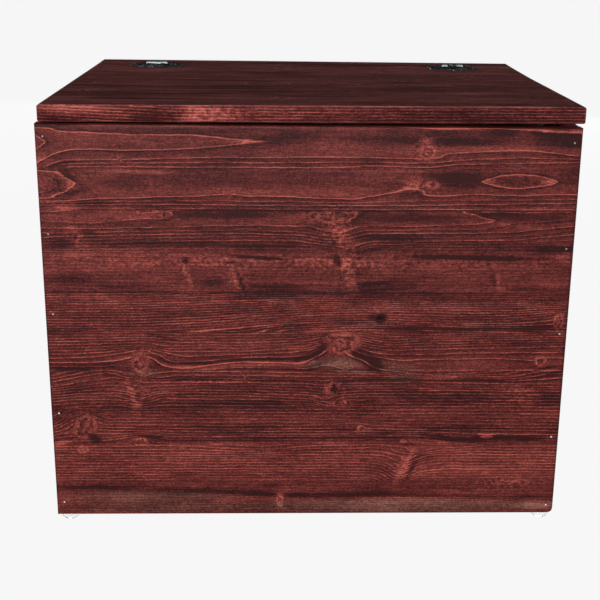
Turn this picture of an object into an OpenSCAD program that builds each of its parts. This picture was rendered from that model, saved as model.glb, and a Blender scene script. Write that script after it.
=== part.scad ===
// Kindling box: a nailed and glued carcass of edge-glued softwood boards on clear dome feet,
// with a narrow strip fixed across the back of the top and a lid hinged to its front edge.
// +X runs to the right, +Y to the back, +Z up. The origin is on the floor under the carcass.

/* [Carcass] */
// Width of the front and back boards
carcass_w = 510; // [400:5:640]
// Depth of the carcass over the front and back boards
carcass_d = 402; // [320:2:480]
// Height of the front, back and side boards
carcass_h = 401; // [300:1:460]
// Thickness of every glued board
board_t = 16; // [14:1:20]
// Radius of the hand-sanded outer edges
edge_r = 2; // [1:0.25:3]

/* [Lid] */
// Width of the lid and of the fixed strip behind it
lid_w = 507; // [400:1:640]
// How far the lid and strip sit to the right of the carcass
lid_shift = 2.2; // [0:0.2:3]
// How far the lid stands proud of the front, and the strip proud of the back
lid_overhang = 1; // [0:0.5:8]
// Depth of the fixed strip, front to back
strip_d = 60; // [48:1:90]
// Open joint between the strip and the lid
lid_joint = 1; // [0.6:0.1:2]
// Height of the two bumpers that the lid comes down on
bumper_h = 1.6; // [1.2:0.1:4]
// Diameter of a lid bumper where it is stuck to the rim
bumper_dia = 8; // [6:0.5:12]
// Distance of the lid bumpers behind the front face
bumper_setback = 40; // [24:1:120]

/* [Feet] */
// Diameter of a dome foot where it is stuck to the carcass
foot_dia = 20; // [14:1:28]
// Height of a foot, which is also the clearance under the carcass
foot_h = 9.5; // [6:0.5:12]
// Distance of a foot's centre from the front, back and side faces
foot_inset = 11.5; // [8:0.5:30]

/* [Brads] */
// Brads down each edge of the front and back boards
brads_per_edge = 5; // [3:1:7]
// Distance of the brads from the side face
brad_inset = 7.5; // [5:0.5:8]
// Distance of the end brads from the top and bottom of the boards
brad_end = 12.5; // [8:0.5:30]
// Length of a brad
brad_len = 38; // [28:1:50]
// Diameter of a brad's shank
brad_dia = 1.2; // [1:0.1:2]
// How far a brad's head stands out round its shank
brad_head_rim = 0.3; // [0.2:0.05:0.6]
// Distance of the base brads from the inner corners
base_brad_end = 60; // [30:5:90]
// Distance of the rear strip brads from the ends of the strip
strip_brad_end = 24; // [18:1:40]
// Distance of the strip's front brads, one into each side board, from its front edge
strip_front_brad = 10; // [8:1:14]

/* [Hinges] */
// Distance between the middles of the two hinges
hinge_spacing = 356.5; // [240:0.5:420]
// How far the pair of hinges sits to the right of the carcass's middle
hinge_shift = 0.2; // [-4:0.2:6]
// Thickness of the stamped hinge sheet
sheet_t = 1.1; // [0.8:0.1:1.5]
// Diameter of the hinge pin
pin_dia = 2.5; // [2:0.1:3]
// Length of the barrel of three knuckles
barrel_len = 23.5; // [20:0.5:32]
// Length of the middle knuckle, which is rolled from the lid leaf
middle_knuckle = 12; // [8:0.5:14]
// Gap between one knuckle and the next
knuckle_gap = 0.3; // [0.2:0.05:0.5]
// Reach of a leaf from the pin to the tip of its middle lobe
leaf_reach = 27; // [24:0.5:30]
// Radius of the lobe in the middle of a leaf
tip_lobe_r = 8.3; // [7.5:0.1:9]
// Distance from the middle of a leaf to the screw in each wing
wing_screw_x = 18.5; // [17:0.5:21]
// Radius of the lobe at the end of each wing
wing_tip_r = 5.2; // [4.4:0.2:6]
// Distance from the middle of a leaf to the lobe at the end of each wing
wing_tip_x = 25; // [23:0.5:27]
// Radius of the raised ring round each screw
collar_r = 4.1; // [3.8:0.1:4.4]
// Thickness of the bead that the rings are stamped as
collar_bead = 1.6; // [1:0.1:1.8]
// Height of the stamped bosses above the sheet
boss_h = 0.7; // [0.3:0.1:1]

/* [Hinge screws] */
// Diameter of a screw head
screw_head_dia = 5; // [4:0.2:5.6]
// Diameter of a screw's shank
screw_dia = 2.5; // [2:0.1:3]
// Length of a screw below the top of the sheet
screw_len = 13; // [9:0.5:14]

/* [Hidden] */
$fn = 48;

// Clearances
wood_fit = 0.05;        // round a brad or screw in its hole
pin_fit = 0.05;         // radial, pin to knuckle
bumper_fit = 0.1;       // lid to bumper, when shut
barrel_lift = 0.1;      // barrel to the wood under it
leaf_clear = 0.4;       // leaf edge to the other leaf's knuckles
seam = 0.2;             // height of the open seam of a rolled knuckle
dome_flat = 0.15;       // how much of a dome's tip is missing, which leaves its flat
through = 1;            // how far a cutter runs past a face

// Heights
rim_z = foot_h + carcass_h;
lid_top_z = rim_z + board_t;

// Depths, front to back
front_y = -carcass_d / 2;
back_y = carcass_d / 2;
lid_front_y = front_y - lid_overhang;
strip_back_y = back_y + lid_overhang;
strip_front_y = strip_back_y - strip_d;
lid_back_y = strip_front_y - lid_joint;
lid_d = lid_back_y - lid_front_y;
inner_w = carcass_w - 2 * board_t;
inner_d = carcass_d - 2 * board_t;

// Hinge barrel and its axis
bore_dia = pin_dia + 2 * pin_fit;
knuckle_r = bore_dia / 2 + sheet_t;
axis_y = (strip_front_y + lid_back_y) / 2;
axis_z = lid_top_z + knuckle_r + barrel_lift;
plate_y = knuckle_r + leaf_clear;
outer_knuckle = (barrel_len - middle_knuckle) / 2 - knuckle_gap;
pin_head_r = pin_dia / 2 + 0.7;
pin_head_h = 1.1;
pin_end_gap = 0.05;     // end knuckles to the pin's heads

// The shut lid leans on the bumpers, so it lies open by this angle
bumper_y = front_y + bumper_setback;
lid_rest_angle = atan((bumper_h + bumper_fit) / (axis_y - bumper_y));

// Underside and top of the hinge sheet, below the pin
sheet_z = -knuckle_r - barrel_lift;
sheet_top = sheet_z + sheet_t;

// Leaf outline: lobes as [across, out from the pin, radius]
lobes = [[9, 12.2, 7.3], [wing_screw_x - 1.5, 11.4, 6.8], [wing_tip_x, 9.4, wing_tip_r]];
screw_spots = [[0, leaf_reach - tip_lobe_r], [-wing_screw_x, 11], [wing_screw_x, 11]];
// Pierced holes, [across, out from the pin, radius]
piercings = [[9.6, 16.4, 1.1], [13.6, 6.2, 1], [4.3, 11.6, 0.8]];
// Pierced crescents round a screw, [which screw, radius, width, from angle, to angle]
bead_ratio = 1.3;       // width of a crescent's end beads to its own width
crescents = [[0, 6.5, 1.2, 12, 62], [2, 7, 1.4, -38, 12]];
// Stamped domes between the screws, [across, out from the pin, radius]
bosses = [[9.8, 10.6, 2.3], [5.8, 5.6, 1.4], [28.1, 9.6, 1.1]];
screw_sink = 0.9;       // depth of the countersunk cone
screw_dome = 0.45;      // rise of the oval head
screw_point = 3;        // length of the tapered point
slot_w = 0.7;
slot_depth = 0.7;
screw_turns = [20, 75, 130];

// Brads
brad_head_h = 0.8;
brad_head_dia = brad_dia + 2 * brad_head_rim;
brad_proud = 0.15;      // how far a hammered head stands out of the face
brad_point = 2.5;
left_scatter = [2, 6, 16, 2, 1];
right_scatter = [-3, -20, -3, -10, -1];
base_brad_count = 3;
strip_brad_count = 4;

// Colours
stain = "#5c2a27";
stain_dark = "#4a2422";
raw_wood = "#c9a06a";
bronze = "#3b3f40";
bright = "#a9b0b2";
clear = [0.92, 0.95, 0.96, 0.6];

// ---------- shared shapes ----------

// Box from one corner to the other
module span(lo, hi) translate(lo) cube(hi - lo);

// Rectangle with round corners, as arcs
module eased_rect(lo, hi, r) {
    translate([lo[0] + r, lo[1]]) square([hi[0] - lo[0] - 2 * r, hi[1] - lo[1]]);
    translate([lo[0], lo[1] + r]) square([hi[0] - lo[0], hi[1] - lo[1] - 2 * r]);
    for (x = [lo[0] + r, hi[0] - r], y = [lo[1] + r, hi[1] - r]) translate([x, y]) circle(r);
}

// Box with all its edges eased: three extruded outlines, crossed
module eased_box(lo, hi, r) {
    intersection() {
        translate([0, 0, lo[2]]) linear_extrude(hi[2] - lo[2])
            eased_rect([lo[0], lo[1]], [hi[0], hi[1]], r);
        translate([0, hi[1], 0]) rotate([90, 0, 0]) linear_extrude(hi[1] - lo[1])
            eased_rect([lo[0], lo[2]], [hi[0], hi[2]], r);
        translate([lo[0], 0, 0]) rotate([90, 0, 90]) linear_extrude(hi[0] - lo[0])
            eased_rect([lo[1], lo[2]], [hi[1], hi[2]], r);
    }
}

// Dome with a small flat on its tip, stuck on by its wide face and pointing along -Z from z = 0
module dome(dia, h) {
    a = dia / 2;
    full_h = h + dome_flat;
    r = (a * a + full_h * full_h) / (2 * full_h);
    intersection() {
        translate([0, 0, r - full_h]) sphere(r);
        translate([0, 0, -h]) cylinder(h = h, r = a + through);
    }
}

// The carcass as one eased block, from which each board takes its outer corners
module carcass_block() {
    eased_box([-carcass_w / 2, front_y, foot_h], [carcass_w / 2, back_y, rim_z], edge_r);
}

// ---------- brads ----------

// A brad driven down -Z from a face at z = 0, or the hole that it makes
module brad(hole = false) {
    fit = hole ? wood_fit : 0;
    top = hole ? through : brad_proud;
    head_z = brad_proud - brad_head_h - fit;
    tip_z = -brad_len - fit;
    translate([0, 0, head_z]) cylinder(h = top - head_z, d = brad_head_dia + 2 * fit);
    translate([0, 0, tip_z + brad_point]) cylinder(h = head_z - tip_z - brad_point, d = brad_dia + 2 * fit);
    translate([0, 0, tip_z]) cylinder(h = brad_point, d1 = 0.4 + 2 * fit, d2 = brad_dia + 2 * fit);
}

function edge_brad_z(i, scatter) =
    foot_h + brad_end + i * (carcass_h - 2 * brad_end) / (brads_per_edge - 1)
    + scatter[i % len(scatter)];

// Brads through the front board (side = -1) or the back board (side = 1) into the side boards' ends
module edge_brads(side, hole = false) {
    for (x = [-1, 1], i = [0:brads_per_edge - 1])
        translate([x * (carcass_w / 2 - brad_inset), side * carcass_d / 2,
                edge_brad_z(i, x < 0 ? left_scatter : right_scatter)])
            rotate([side < 0 ? 90 : -90, 0, 0]) brad(hole);
}

// Brads through the side and back boards into the edges of the base
module floor_brads(hole = false) {
    z = foot_h + board_t / 2;
    for (x = [-1, 1], i = [0:base_brad_count - 1])
        translate([x * carcass_w / 2, -inner_d / 2 + base_brad_end
                + i * (inner_d - 2 * base_brad_end) / (base_brad_count - 1), z])
            rotate([0, x * 90, 0]) brad(hole);
    for (i = [0:base_brad_count - 1])
        translate([-inner_w / 2 + base_brad_end
                + i * (inner_w - 2 * base_brad_end) / (base_brad_count - 1), back_y, z])
            rotate([-90, 0, 0]) brad(hole);
}

// Brads down through the strip into the back board, and one into each side board in front of it
module strip_brads(hole = false) {
    run = lid_w - 2 * strip_brad_end;
    for (i = [0:strip_brad_count - 1])
        translate([lid_shift - run / 2 + i * run / (strip_brad_count - 1), back_y - board_t / 2, lid_top_z])
            brad(hole);
    for (x = [-1, 1] * (carcass_w - board_t) / 2)
        translate([x, strip_front_y + strip_front_brad, lid_top_z]) brad(hole);
}

// ---------- boards ----------

// Everything that goes into the wood of the carcass
module carcass_holes() {
    edge_brads(-1, true);
    edge_brads(1, true);
    floor_brads(true);
    strip_brads(true);
}

module front_panel() {
    color(stain) difference() {
        intersection() {
            carcass_block();
            span([-carcass_w / 2, front_y, foot_h], [carcass_w / 2, front_y + board_t, rim_z]);
        }
        edge_brads(-1, true);
    }
}

module back_panel() {
    color(stain) difference() {
        intersection() {
            carcass_block();
            span([-carcass_w / 2, back_y - board_t, foot_h], [carcass_w / 2, back_y, rim_z]);
        }
        edge_brads(1, true);
        floor_brads(true);
        strip_brads(true);
    }
}

// side = -1 for the left board, 1 for the right
module side_panel(side) {
    x0 = side < 0 ? -carcass_w / 2 : carcass_w / 2 - board_t;
    color(stain) difference() {
        intersection() {
            carcass_block();
            span([x0, front_y + board_t, foot_h], [x0 + board_t, back_y - board_t, rim_z]);
        }
        edge_brads(-1, true);
        edge_brads(1, true);
        floor_brads(true);
        strip_brads(true);
    }
}

module base_panel() {
    color(raw_wood) difference() {
        span([-inner_w / 2, -inner_d / 2, foot_h], [inner_w / 2, inner_d / 2, foot_h + board_t]);
        floor_brads(true);
    }
}

module rear_top_strip() {
    color(stain_dark) difference() {
        eased_box([lid_shift - lid_w / 2, strip_front_y, rim_z],
            [lid_shift + lid_w / 2, strip_back_y, lid_top_z], edge_r);
        strip_brads(true);
        both_hinges() screws(true);
    }
}

module lid_panel() {
    color(stain_dark) lid_at_rest() difference() {
        eased_box([lid_shift - lid_w / 2, lid_front_y, rim_z],
            [lid_shift + lid_w / 2, lid_back_y, lid_top_z], edge_r);
        both_hinges() mirror([0, 1, 0]) screws(true);
    }
}

// ---------- hinges ----------
// A hinge is drawn with its pin along X through the origin. The fixed leaf lies towards +Y and the
// lid leaf is its mirror image. The sheet lies on the wood, just below the barrel.

module at_hinge(side) {
    translate([hinge_shift + side * hinge_spacing / 2, axis_y, axis_z]) children();
}

module both_hinges() {
    for (side = [-1, 1]) at_hinge(side) children();
}

// Turns what belongs to the lid from level to where it rests on its bumpers
module lid_at_rest() {
    axis = [0, axis_y, axis_z];
    translate(axis) rotate([-lid_rest_angle, 0, 0]) translate(-axis) children();
}

module leaf_outline() {
    translate([0, leaf_reach - tip_lobe_r]) circle(tip_lobe_r);
    translate([-barrel_len / 2, plate_y]) square([barrel_len, lobes[0][1] - plate_y]);
    for (s = [-1, 1], lobe = lobes) translate([s * lobe[0], lobe[1]]) circle(lobe[2]);
}

// Curved slot that ends in round beads, cut right through the sheet
module crescent(c) {
    spot = screw_spots[c[0]];
    translate([spot[0], spot[1], sheet_z - through]) {
        rotate([0, 0, c[3]]) rotate_extrude(angle = c[4] - c[3])
            translate([c[1] - c[2] / 2, 0]) square([c[2], sheet_t + 2 * through]);
        for (a = [c[3], c[4]]) rotate([0, 0, a]) translate([c[1], 0, 0])
            cylinder(h = sheet_t + 2 * through, d = c[2] * bead_ratio);
    }
}

// Raised ring round a screw, sunk a little into the sheet
module collar() {
    rotate_extrude() translate([collar_r, -collar_bead * 0.15]) circle(d = collar_bead);
}

// Low dome of radius a where it leaves the sheet
module boss(a) {
    h = boss_h * min(1, a / 2);
    r = (a * a + h * h) / (2 * h);
    sunk = 0.4;
    intersection() {
        translate([0, 0, h - r]) sphere(r);
        translate([0, 0, -sunk]) cylinder(h = sunk + h + through, r = a + through);
    }
}

// Knuckle between two places along the pin, with the web that joins it to the leaf
module knuckle(x0, x1) {
    translate([x0, 0, 0]) rotate([0, 90, 0]) cylinder(h = x1 - x0, r = knuckle_r);
    translate([x0, 0, sheet_z]) cube([x1 - x0, plate_y + 0.5, sheet_t]);
}

// knuckles is a list of [from, to] along the pin
module leaf(knuckles) {
    difference() {
        union() {
            translate([0, 0, sheet_z]) linear_extrude(sheet_t) intersection() {
                leaf_outline();
                // no lobe comes nearer the pin than the edge of the sheet
                translate([-50, plate_y]) square([100, 50]);
            }
            for (spot = screw_spots) translate([spot[0], spot[1], sheet_top]) collar();
            for (s = [-1, 1], b = bosses) translate([s * b[0], b[1], sheet_top]) boss(b[2]);
            for (k = knuckles) knuckle(k[0], k[1]);
        }
        translate([-barrel_len, 0, 0]) rotate([0, 90, 0]) cylinder(h = 2 * barrel_len, d = bore_dia);
        // seam, where the rolled end of the sheet comes down on the leaf again
        translate([-barrel_len, bore_dia / 4, sheet_top]) cube([2 * barrel_len, plate_y, seam]);
        for (s = [-1, 1], p = piercings) translate([s * p[0], p[1], sheet_z - through])
            cylinder(h = sheet_t + 2 * through, r = p[2]);
        for (s = [0, 1], c = crescents) mirror([s, 0, 0]) crescent(c);
        screws(true);
    }
}

module fixed_leaf() {
    end = barrel_len / 2;
    leaf([[-end, -end + outer_knuckle], [end - outer_knuckle, end]]);
}

module lid_leaf() {
    mirror([0, 1, 0]) leaf([[-middle_knuckle / 2, middle_knuckle / 2]]);
}

// Pin with a peened dome on each end
module pin() {
    half = barrel_len / 2 + pin_end_gap;
    color(bright) {
        translate([-half, 0, 0]) rotate([0, 90, 0]) cylinder(h = 2 * half, d = pin_dia);
        for (s = [-1, 1]) translate([s * half, 0, 0]) rotate([0, s * 90, 0]) pin_head();
    }
}

module pin_head() {
    r = (pin_head_r * pin_head_r + pin_head_h * pin_head_h) / (2 * pin_head_h);
    intersection() {
        translate([0, 0, pin_head_h - r]) sphere(r);
        cylinder(h = pin_head_h + through, r = pin_head_r);
    }
}

// ---------- hinge screws ----------

// An oval-head slotted screw whose cone ends at the sheet's top, z = 0, or its hole
module screw(hole = false) {
    fit = hole ? wood_fit : 0;
    r = screw_head_dia / 2;
    shank_r = screw_dia / 2 + fit;
    dome_r = (r * r + screw_dome * screw_dome) / (2 * screw_dome);
    difference() {
        union() {
            translate([0, 0, -screw_sink]) cylinder(h = screw_sink, r1 = shank_r, r2 = r + fit);
            translate([0, 0, screw_point - screw_len])
                cylinder(h = screw_len - screw_point - screw_sink, r = shank_r);
            translate([0, 0, -screw_len - fit]) cylinder(h = screw_point + fit, r1 = 0.2 + fit, r2 = shank_r);
            if (hole) translate([0, 0, -fit]) cylinder(h = collar_bead + through, r = r + fit);
            else intersection() {
                translate([0, 0, screw_dome - dome_r]) sphere(dome_r);
                cylinder(h = screw_dome + through, r = r);
            }
        }
        if (!hole) translate([-screw_head_dia, -slot_w / 2, screw_dome - slot_depth])
            cube([2 * screw_head_dia, slot_w, slot_depth]);
    }
}

// The three screws of a fixed leaf, or their holes
module screws(hole = false) {
    for (i = [0:len(screw_spots) - 1])
        translate([screw_spots[i][0], screw_spots[i][1], sheet_top])
            rotate([0, 0, screw_turns[i]]) screw(hole);
}

module fixed_screws() color(bronze) screws();
module lid_screws() color(bronze) mirror([0, 1, 0]) screws();

// ---------- feet and bumpers ----------

module foot(sx, sy) {
    color(clear) translate([sx * (carcass_w / 2 - foot_inset), sy * (carcass_d / 2 - foot_inset), foot_h])
        dome(foot_dia, foot_h);
}

module bumper(side) {
    color(clear) translate([side * (carcass_w / 2 - board_t / 2), bumper_y, rim_z])
        mirror([0, 0, 1]) dome(bumper_dia, bumper_h);
}

// ---------- the nodes ----------

front_panel();
back_panel();
side_panel(-1);  // left_side_panel
side_panel(1);  // right_side_panel
base_panel();
rear_top_strip();
lid_panel();
color(bright) edge_brads(-1);  // front_panel_brads
color(bright) edge_brads(1);  // back_panel_brads
color(bright) floor_brads();  // base_brads
color(bright) strip_brads();  // rear_strip_brads
color(bronze) at_hinge(-1) fixed_leaf();  // left_hinge_fixed_leaf
color(bronze) lid_at_rest() at_hinge(-1) lid_leaf();  // left_hinge_lid_leaf
at_hinge(-1) pin();  // left_hinge_pin
at_hinge(-1) fixed_screws();  // left_hinge_fixed_screws
lid_at_rest() at_hinge(-1) lid_screws();  // left_hinge_lid_screws
color(bronze) at_hinge(1) fixed_leaf();  // right_hinge_fixed_leaf
color(bronze) lid_at_rest() at_hinge(1) lid_leaf();  // right_hinge_lid_leaf
at_hinge(1) pin();  // right_hinge_pin
at_hinge(1) fixed_screws();  // right_hinge_fixed_screws
lid_at_rest() at_hinge(1) lid_screws();  // right_hinge_lid_screws
foot(-1, -1);  // front_left_foot
foot(1, -1);  // front_right_foot
foot(-1, 1);  // back_left_foot
foot(1, 1);  // back_right_foot
bumper(-1);  // left_lid_bumper
bumper(1);  // right_lid_bumper
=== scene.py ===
import math

import bmesh
import bpy
import numpy as np
from mathutils import Matrix, Vector


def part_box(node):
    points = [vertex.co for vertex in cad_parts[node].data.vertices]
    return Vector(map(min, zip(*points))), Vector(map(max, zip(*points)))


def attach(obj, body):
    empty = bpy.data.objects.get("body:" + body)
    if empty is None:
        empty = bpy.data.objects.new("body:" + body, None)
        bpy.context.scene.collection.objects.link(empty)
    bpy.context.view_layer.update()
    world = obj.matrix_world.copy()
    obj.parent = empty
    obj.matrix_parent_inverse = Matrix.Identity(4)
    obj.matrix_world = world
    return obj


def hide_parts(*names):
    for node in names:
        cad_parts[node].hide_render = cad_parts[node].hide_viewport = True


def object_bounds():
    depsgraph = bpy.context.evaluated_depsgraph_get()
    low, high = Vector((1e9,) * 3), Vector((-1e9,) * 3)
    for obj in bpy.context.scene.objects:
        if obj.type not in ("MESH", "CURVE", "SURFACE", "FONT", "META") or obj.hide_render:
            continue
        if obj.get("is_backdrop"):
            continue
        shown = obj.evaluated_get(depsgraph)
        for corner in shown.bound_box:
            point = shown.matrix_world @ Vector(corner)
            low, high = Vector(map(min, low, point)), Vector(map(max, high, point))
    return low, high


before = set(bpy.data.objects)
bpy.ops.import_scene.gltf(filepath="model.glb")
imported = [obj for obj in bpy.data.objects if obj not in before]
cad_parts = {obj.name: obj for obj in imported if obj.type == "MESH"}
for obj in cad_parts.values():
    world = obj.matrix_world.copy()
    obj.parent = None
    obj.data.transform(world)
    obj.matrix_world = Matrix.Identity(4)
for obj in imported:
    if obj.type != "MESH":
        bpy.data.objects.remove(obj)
cad_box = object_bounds()

# ---------------------------------------------------------------------------------------------
# Camera. Fitted to the eight corners of the box that the photograph shows: a 68 mm lens a little
# above the lid, 1.05 m in front of the box and turned very slightly to the right.
photo_px = 600
focal_px = 1138.6
axis_px = (326.1, 288.1)
sensor_mm = 36
camera_place = Vector((-0.0243, -1.2519, 0.5828))
yaw, pitch, roll = math.radians(2.207), math.radians(17.387), math.radians(0.885)

forward = Vector(
    (math.sin(yaw) * math.cos(pitch), math.cos(yaw) * math.cos(pitch), -math.sin(pitch))
)
level = Vector((math.cos(yaw), -math.sin(yaw), 0))
overhead = level.cross(forward)
to_right = math.cos(roll) * level + math.sin(roll) * overhead
to_top = -math.sin(roll) * level + math.cos(roll) * overhead
lens = bpy.data.cameras.new("photo_camera")
lens.sensor_width = sensor_mm
lens.lens = focal_px / photo_px * sensor_mm
lens.shift_x = 0.5 - axis_px[0] / photo_px
lens.shift_y = axis_px[1] / photo_px - 0.5
camera = bpy.data.objects.new("photo_camera", lens)
turn = Matrix((to_right, to_top, -forward)).transposed().to_4x4()
camera.matrix_world = Matrix.Translation(camera_place) @ turn
scene = bpy.context.scene
scene.collection.objects.link(camera)
scene.camera = camera

# ---------------------------------------------------------------------------------------------
# Studio. A plain pale floor and the same pale tone all round, both paler to the camera than they
# light the box, and large soft panels of light: the strongest in front, a faint one above.
scene.view_settings.view_transform = "Standard"
backdrop_tone = 0.93
floor_half = 30
floor_glow = 0.920
floor_white = 0.012
room_light = 0.07
floor_bounce = 0.13
lamps_aim = Vector((0, 0, 0.22))
white = (1, 1, 1, 1)


def put(tree, kind, inputs=None, **settings):
    """Add a node, set it, and give its sockets numbers, colours or other nodes' outputs."""
    node = tree.nodes.new(kind)
    for name, value in settings.items():
        setattr(node, name, value)
    for name, value in (inputs or {}).items():
        if isinstance(value, bpy.types.NodeSocket):
            tree.links.new(value, node.inputs[name])
        else:
            node.inputs[name].default_value = value
    return node


def new_finish(name):
    """An empty material, its node tree and its output."""
    finish = bpy.data.materials.new(name)
    finish.use_nodes = True
    tree = finish.node_tree
    tree.nodes.clear()
    return finish, tree, tree.nodes.new("ShaderNodeOutputMaterial")


def seen_or_felt(tree, kind, seen, felt):
    """A light with one strength to the camera, also through clear rubber, and one for the rest."""
    sight = put(tree, "ShaderNodeLightPath").outputs
    paths = {0: sight["Is Camera Ray"], 1: sight["Is Transmission Ray"]}
    feeds = {0: put(tree, "ShaderNodeMath", paths, operation="MAXIMUM").outputs[0]}
    for place, strength in ((1, felt), (2, seen)):
        feeds[place] = put(tree, kind, {"Color": white, "Strength": strength}).outputs[0]
    return put(tree, "ShaderNodeMixShader", feeds).outputs[0]


world = bpy.data.worlds.new("studio")
world.use_nodes = True
tree = world.node_tree
tree.nodes.clear()
glow = seen_or_felt(tree, "ShaderNodeBackground", backdrop_tone, room_light)
put(tree, "ShaderNodeOutputWorld", {"Surface": glow})
scene.world = world

floor_mesh = bpy.data.meshes.new("floor")
bm = bmesh.new()
bmesh.ops.create_grid(bm, x_segments=1, y_segments=1, size=floor_half)
bm.to_mesh(floor_mesh)
bm.free()
floor = bpy.data.objects.new("floor", floor_mesh)
scene.collection.objects.link(floor)
floor_finish, tree, out = new_finish("floor_paper")
paper = put(tree, "ShaderNodeBsdfDiffuse", {"Color": (floor_white,) * 3 + (1,)})
glow = seen_or_felt(tree, "ShaderNodeEmission", floor_glow, floor_bounce)
both = put(tree, "ShaderNodeAddShader", {0: paper.outputs[0], 1: glow})
tree.links.new(both.outputs[0], out.inputs["Surface"])
floor_mesh.materials.append(floor_finish)
floor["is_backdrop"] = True

for name, place, size, watts in (
    ("front_light", (-0.4, -2.7, 0.85), (2.4, 1.2), 78),
    ("left_light", (-2.5, 0.1, 0.5), (1.8, 0.9), 62),
    ("right_light", (2.5, 0.1, 0.5), (1.8, 0.9), 62),
    ("back_light", (0.3, 2.6, 0.5), (2.4, 0.9), 70),
    ("top_light", (0.0, -0.6, 2.8), (1.6, 1.2), 4),
):
    lamp = bpy.data.lights.new(name, "AREA")
    lamp.shape = "RECTANGLE"
    lamp.size, lamp.size_y = size
    lamp.energy = watts
    holder = bpy.data.objects.new(name, lamp)
    aim = (lamps_aim - Vector(place)).to_track_quat("-Z", "Y")
    holder.matrix_world = Matrix.Translation(place) @ aim.to_matrix().to_4x4()
    holder.visible_glossy = name != "back_light"
    scene.collection.objects.link(holder)

# ---------------------------------------------------------------------------------------------
# Front board. Softwood staves edge-glued into a 16 mm board, stained mahogany and varnished. Its
# face covers the ends of the side boards, and brads down both edges hold it. Sizes here and in
# all the board sections are in millimetres, along the grain, across it and into the board.
MM = 0.001
# How round the edges are and in how many steps, how wide they are rubbed paler (partly a painted
# highlight), and the worn corner.
ease = 2.0
turns = 3
rub_and_highlight_width = 1.2
corner_wear = 7.0
front_joints = (0, 38.5, 79, 119, 158.8, 199, 239, 280, 321, 361, 401)
# Between traced rings: how much longer the figure runs along the grain than across it, how soft
# it bends, how much it may miss a traced point by, and how far apart the points are.
grain_run = 5.0
grain_soft = 3.0
grain_slack = 0.02
trace_step = 14.0
# Ring numbers: the first ring of the next stave, and the furthest ring that has a strength.
rings_apart = 40
ring_span = 200
# The step over which the figure's slope is measured, and a full turn for its waves.
nudge = 0.5
full_turn = 6.283
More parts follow.
